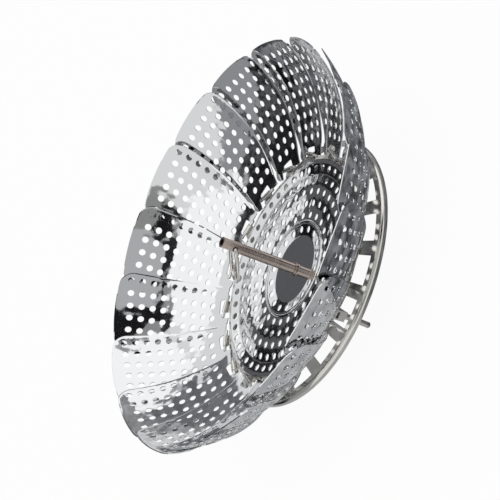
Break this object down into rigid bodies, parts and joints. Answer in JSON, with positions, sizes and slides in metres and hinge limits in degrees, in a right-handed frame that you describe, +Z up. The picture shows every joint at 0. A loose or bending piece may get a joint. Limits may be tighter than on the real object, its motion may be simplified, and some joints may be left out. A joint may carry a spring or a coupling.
{
  "type": "folding steamer basket",
  "caption": "Round stainless steamer basket with overlapping perforated petals hinged round a perforated plate, folding legs and a centre post with a pull ring.",
  "frame": {"origin": "on the table under the centre post, at the middle of the plane of the legs' tips", "axes": "+Z up along the centre post; +X points from the post to the hinge of petal 01; the petals are open"},
  "size_m": [0.216, 0.2184, 0.0672],
  "materials": {
    "mirror_petal": "mirror-polished stainless steel sheet",
    "polished_steel": "polished stainless steel sheet",
    "satin_steel": "satin stainless steel",
    "turned_steel": "turned stainless steel with a warm tint",
    "wire_steel": "drawn stainless steel wire",
    "plated_fastener": "plain steel fastener"
  },
  "bodies": {
    "base": {"base_ring": "satin_steel", "base_plate": "polished_steel", "centre_post": "turned_steel", "post_washer": "turned_steel", "post_nut": "plated_fastener", "leg_bracket_1": "satin_steel", "leg_bracket_2": "satin_steel", "leg_bracket_3": "satin_steel", "leg_pin_1": "plated_fastener", "leg_pin_2": "plated_fastener", "leg_pin_3": "plated_fastener"},
    "petal_01": {"petal_01": "mirror_petal"},
    "petal_02": {"petal_02": "mirror_petal"},
    "petal_03": {"petal_03": "mirror_petal"},
    "petal_04": {"petal_04": "mirror_petal"},
    "petal_05": {"petal_05": "mirror_petal"},
    "petal_06": {"petal_06": "mirror_petal"},
    "petal_07": {"petal_07": "mirror_petal"},
    "petal_08": {"petal_08": "mirror_petal"},
    "petal_09": {"petal_09": "mirror_petal"},
    "petal_10": {"petal_10": "mirror_petal"},
    "petal_11": {"petal_11": "mirror_petal"},
    "petal_12": {"petal_12": "mirror_petal"},
    "petal_13": {"petal_13": "mirror_petal"},
    "petal_14": {"petal_14": "mirror_petal"},
    "petal_15": {"petal_15": "mirror_petal"},
    "petal_16": {"petal_16": "mirror_petal"},
    "petal_17": {"petal_17": "mirror_petal"},
    "petal_18": {"petal_18": "mirror_petal"},
    "leg_1": {"leg_1": "wire_steel"},
    "leg_2": {"leg_2": "wire_steel"},
    "leg_3": {"leg_3": "wire_steel"},
    "pull_ring": {"pull_ring": "wire_steel"}
  },
  "joints": [
    {"name": "petal_01_hinge", "type": "hinge", "parent": "base", "child": "petal_01", "pos_m": [0.0605, 0, 0.027], "axis": [-0.309, -0.9511, 0], "range_deg": [0, 90]},
    {"name": "petal_02_hinge", "type": "hinge", "parent": "base", "child": "petal_02", "pos_m": [0.05685, 0.02069, 0.027], "axis": [0.0349, -0.9994, 0], "range_deg": [0, 90]},
    {"name": "petal_03_hinge", "type": "hinge", "parent": "base", "child": "petal_03", "pos_m": [0.04635, 0.03889, 0.027], "axis": [0.3746, -0.9272, 0], "range_deg": [0, 90]},
    {"name": "petal_04_hinge", "type": "hinge", "parent": "base", "child": "petal_04", "pos_m": [0.03025, 0.05239, 0.027], "axis": [0.6691, -0.7431, 0], "range_deg": [0, 90]},
    {"name": "petal_05_hinge", "type": "hinge", "parent": "base", "child": "petal_05", "pos_m": [0.01051, 0.05958, 0.027], "axis": [0.8829, -0.4695, 0], "range_deg": [0, 90]},
    {"name": "petal_06_hinge", "type": "hinge", "parent": "base", "child": "petal_06", "pos_m": [-0.01051, 0.05958, 0.027], "axis": [0.9903, -0.1392, 0], "range_deg": [0, 90]},
    {"name": "petal_07_hinge", "type": "hinge", "parent": "base", "child": "petal_07", "pos_m": [-0.03025, 0.05239, 0.027], "axis": [0.9781, 0.2079, 0], "range_deg": [0, 90]},
    {"name": "petal_08_hinge", "type": "hinge", "parent": "base", "child": "petal_08", "pos_m": [-0.04635, 0.03889, 0.027], "axis": [0.848, 0.5299, 0], "range_deg": [0, 90]},
    {"name": "petal_09_hinge", "type": "hinge", "parent": "base", "child": "petal_09", "pos_m": [-0.05685, 0.02069, 0.027], "axis": [0.6157, 0.788, 0], "range_deg": [0, 90]},
    {"name": "petal_10_hinge", "type": "hinge", "parent": "base", "child": "petal_10", "pos_m": [-0.0605, 0, 0.027], "axis": [0.309, 0.9511, 0], "range_deg": [0, 90]},
    {"name": "petal_11_hinge", "type": "hinge", "parent": "base", "child": "petal_11", "pos_m": [-0.05685, -0.02069, 0.027], "axis": [-0.0349, 0.9994, 0], "range_deg": [0, 90]},
    {"name": "petal_12_hinge", "type": "hinge", "parent": "base", "child": "petal_12", "pos_m": [-0.04635, -0.03889, 0.027], "axis": [-0.3746, 0.9272, 0], "range_deg": [0, 90]},
    {"name": "petal_13_hinge", "type": "hinge", "parent": "base", "child": "petal_13", "pos_m": [-0.03025, -0.05239, 0.027], "axis": [-0.6691, 0.7431, 0], "range_deg": [0, 90]},
    {"name": "petal_14_hinge", "type": "hinge", "parent": "base", "child": "petal_14", "pos_m": [-0.01051, -0.05958, 0.027], "axis": [-0.8829, 0.4695, 0], "range_deg": [0, 90]},
    {"name": "petal_15_hinge", "type": "hinge", "parent": "base", "child": "petal_15", "pos_m": [0.01051, -0.05958, 0.027], "axis": [-0.9903, 0.1392, 0], "range_deg": [0, 90]},
    {"name": "petal_16_hinge", "type": "hinge", "parent": "base", "child": "petal_16", "pos_m": [0.03025, -0.05239, 0.027], "axis": [-0.9781, -0.2079, 0], "range_deg": [0, 90]},
    {"name": "petal_17_hinge", "type": "hinge", "parent": "base", "child": "petal_17", "pos_m": [0.04635, -0.03889, 0.027], "axis": [-0.848, -0.5299, 0], "range_deg": [0, 90]},
    {"name": "petal_18_hinge", "type": "hinge", "parent": "base", "child": "petal_18", "pos_m": [0.05685, -0.02069, 0.027], "axis": [-0.6157, -0.788, 0], "range_deg": [0, 90]},
    {"name": "leg_1_hinge", "type": "hinge", "parent": "base", "child": "leg_1", "pos_m": [-0.01294, -0.04829, 0.02062], "axis": [0.9659, -0.2588, 0], "range_deg": [0, 95]},
    {"name": "leg_2_hinge", "type": "hinge", "parent": "base", "child": "leg_2", "pos_m": [0.04829, 0.01294, 0.02062], "axis": [-0.2588, 0.9659, 0], "range_deg": [0, 95]},
    {"name": "leg_3_hinge", "type": "hinge", "parent": "base", "child": "leg_3", "pos_m": [-0.03535, 0.03535, 0.02062], "axis": [-0.7071, -0.7071, 0], "range_deg": [0, 95]},
    {"name": "pull_ring_hinge", "type": "hinge", "parent": "base", "child": "pull_ring", "pos_m": [0, 0, 0.05992], "axis": [0.5, 0.866, 0], "range_deg": [-45, 285]}
  ],
  "couplings": [
    {"joint": "petal_02_hinge", "follows": "petal_01_hinge", "ratio": 1},
    {"joint": "petal_03_hinge", "follows": "petal_01_hinge", "ratio": 1},
    {"joint": "petal_04_hinge", "follows": "petal_01_hinge", "ratio": 1},
    {"joint": "petal_05_hinge", "follows": "petal_01_hinge", "ratio": 1},
    {"joint": "petal_06_hinge", "follows": "petal_01_hinge", "ratio": 1},
    {"joint": "petal_07_hinge", "follows": "petal_01_hinge", "ratio": 1},
    {"joint": "petal_08_hinge", "follows": "petal_01_hinge", "ratio": 1},
    {"joint": "petal_09_hinge", "follows": "petal_01_hinge", "ratio": 1},
    {"joint": "petal_10_hinge", "follows": "petal_01_hinge", "ratio": 1},
    {"joint": "petal_11_hinge", "follows": "petal_01_hinge", "ratio": 1},
    {"joint": "petal_12_hinge", "follows": "petal_01_hinge", "ratio": 1},
    {"joint": "petal_13_hinge", "follows": "petal_01_hinge", "ratio": 1},
    {"joint": "petal_14_hinge", "follows": "petal_01_hinge", "ratio": 1},
    {"joint": "petal_15_hinge", "follows": "petal_01_hinge", "ratio": 1},
    {"joint": "petal_16_hinge", "follows": "petal_01_hinge", "ratio": 1},
    {"joint": "petal_17_hinge", "follows": "petal_01_hinge", "ratio": 1},
    {"joint": "petal_18_hinge", "follows": "petal_01_hinge", "ratio": 1}
  ]
}
